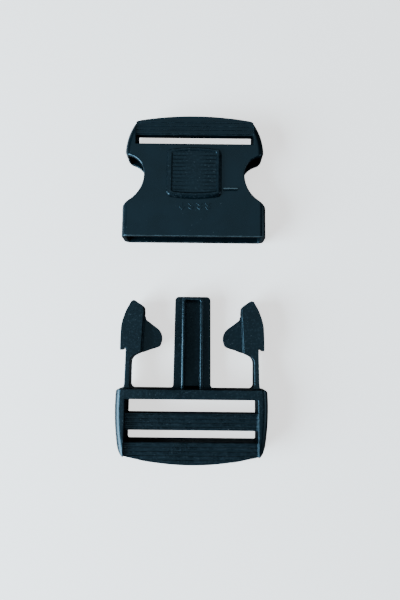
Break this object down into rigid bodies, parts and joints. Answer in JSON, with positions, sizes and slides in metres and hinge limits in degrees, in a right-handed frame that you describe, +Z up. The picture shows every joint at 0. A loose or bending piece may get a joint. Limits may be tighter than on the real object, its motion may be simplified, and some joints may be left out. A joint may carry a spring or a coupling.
{
  "type": "side-release buckle",
  "caption": "Side-release webbing buckle in two halves, lying open: a receiver with a sliding lock button and a plug with a guide tongue and barbed spring prongs.",
  "frame": {"origin": "middle of the whole arrangement's underside: midway between the plug's rear arc and the receiver's bar, on the surface that both halves lie on", "axes": "+Y from the plug to the receiver, along which the plug is pushed home; +Z up, out of the face with the lock button; +X to the right seen from above with the receiver at the top"},
  "size_m": [0.063, 0.1486, 0.0142],
  "materials": {
    "receiver_plastic": "near-black moulded plastic with a cool satin sheen",
    "button_plastic": "near-black moulded plastic, ribbed, satin",
    "plug_plastic": "near-black moulded plastic with a cool satin sheen"
  },
  "bodies": {
    "receiver": {"receiver_shell": "receiver_plastic"},
    "button": {"lock_button": "button_plastic"},
    "plug": {"plug_frame": "plug_plastic"},
    "prong_left": {"left_prong": "plug_plastic"},
    "prong_right": {"right_prong": "plug_plastic"}
  },
  "joints": [
    {"name": "lock_slide", "type": "slide", "parent": "receiver", "child": "button", "axis": [0, -1, 0], "range_m": [0, 0.0025]},
    {"name": "plug_insertion", "type": "slide", "parent": "receiver", "child": "plug", "axis": [0, 1, 0], "range_m": [0, 0.0637]},
    {"name": "left_prong_flex", "type": "hinge", "parent": "plug", "child": "prong_left", "pos_m": [-0.02695, -0.0447, 0.0062], "axis": [0, 0, -1], "range_deg": [0, 6.6]},
    {"name": "right_prong_flex", "type": "hinge", "parent": "plug", "child": "prong_right", "pos_m": [0.02695, -0.0447, 0.0062], "axis": [0, 0, 1], "range_deg": [0, 6.6]}
  ],
  "couplings": [
    {"joint": "left_prong_flex", "follows": "plug_insertion", "rad_per_m": 1.78},
    {"joint": "right_prong_flex", "follows": "plug_insertion", "rad_per_m": 1.78}
  ]
}
